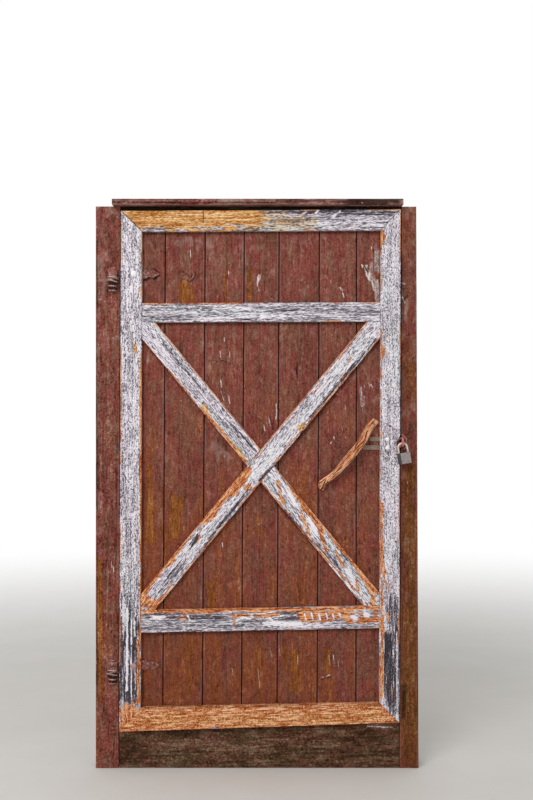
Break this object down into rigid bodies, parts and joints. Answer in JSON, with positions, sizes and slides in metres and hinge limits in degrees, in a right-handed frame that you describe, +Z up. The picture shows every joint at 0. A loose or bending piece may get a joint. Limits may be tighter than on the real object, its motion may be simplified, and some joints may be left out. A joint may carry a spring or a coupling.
{
  "type": "barn door with frame",
  "caption": "Ledged barn door of red-brown planks with a peeling white surround and X brace, forged strap hinges, branch handle, hairpin hasp and padlock, hung in its timber frame.",
  "frame": {"origin": "on the ground, under the middle of the doorway, halfway through the posts' depth: the middle of the sill beam's underside", "axes": "+X to the right along the wall as seen from outside, +Y into the barn, +Z up; the door's face looks along -Y"},
  "size_m": [1.2146, 0.1818, 2.134],
  "materials": {
    "frame_timber": "rough-sawn, weathered",
    "facing_paint": "old red-brown paint, worn",
    "plank_paint": "old red-brown paint over grain, worn",
    "white_paint": "cracked and peeling white paint",
    "bare_branch": "bare, weathered, cracked",
    "forged_iron": "forged, painted red-brown, worn",
    "hasp_steel": "dull, spotted with paint",
    "painted_bolt": "white paint",
    "zinc_steel": "dull zinc",
    "padlock_steel": "worn satin",
    "padlock_brass": "dull",
    "shackle_steel": "polished, slightly yellowed"
  },
  "bodies": {
    "frame": {"jamb_post_left": "frame_timber", "jamb_post_right": "frame_timber", "head_beam": "frame_timber", "sill_beam": "frame_timber", "jamb_facing_left": "facing_paint", "jamb_facing_right": "facing_paint", "drip_board": "facing_paint", "sill_board": "facing_paint", "hinge_washers": "forged_iron", "pintle_upper": "forged_iron", "pintle_lower": "forged_iron", "jamb_staple": "hasp_steel"},
    "leaf": {"plank_1": "plank_paint", "plank_2": "plank_paint", "plank_3": "plank_paint", "plank_4": "plank_paint", "plank_5": "plank_paint", "plank_6": "plank_paint", "plank_7": "plank_paint", "stile_left": "white_paint", "stile_right": "white_paint", "rail_top": "white_paint", "rail_upper": "white_paint", "rail_lower": "white_paint", "rail_bottom": "white_paint", "brace_over": "white_paint", "brace_under_upper": "white_paint", "brace_under_lower": "white_paint", "ledge_upper": "frame_timber", "ledge_middle": "frame_timber", "ledge_lower": "frame_timber", "hinge_strap_upper": "forged_iron", "hinge_strap_lower": "forged_iron", "hinge_bolts": "painted_bolt", "hasp_bolts": "painted_bolt", "hinge_bolt_nuts": "zinc_steel", "hasp_bolt_nuts": "zinc_steel", "hasp": "hasp_steel", "branch_handle": "bare_branch", "branch_screws": "zinc_steel"},
    "padlock": {"padlock_body": "padlock_steel", "padlock_cylinder": "padlock_brass"},
    "shackle": {"padlock_shackle": "shackle_steel"}
  },
  "joints": [
    {"name": "door_swing", "type": "hinge", "parent": "frame", "child": "leaf", "pos_m": [-0.552, -0.0911, 1.1225], "axis": [0, 0, -1], "range_deg": [0, 170]},
    {"name": "padlock_swing", "type": "hinge", "parent": "leaf", "child": "padlock", "pos_m": [0.53205, -0.106, 1.2228], "axis": [-1, 0, 0], "range_deg": [0, 85]},
    {"name": "shackle_lift", "type": "slide", "parent": "padlock", "child": "shackle", "axis": [-0.1564, 0, 0.9877], "range_m": [0, 0.009]}
  ]
}
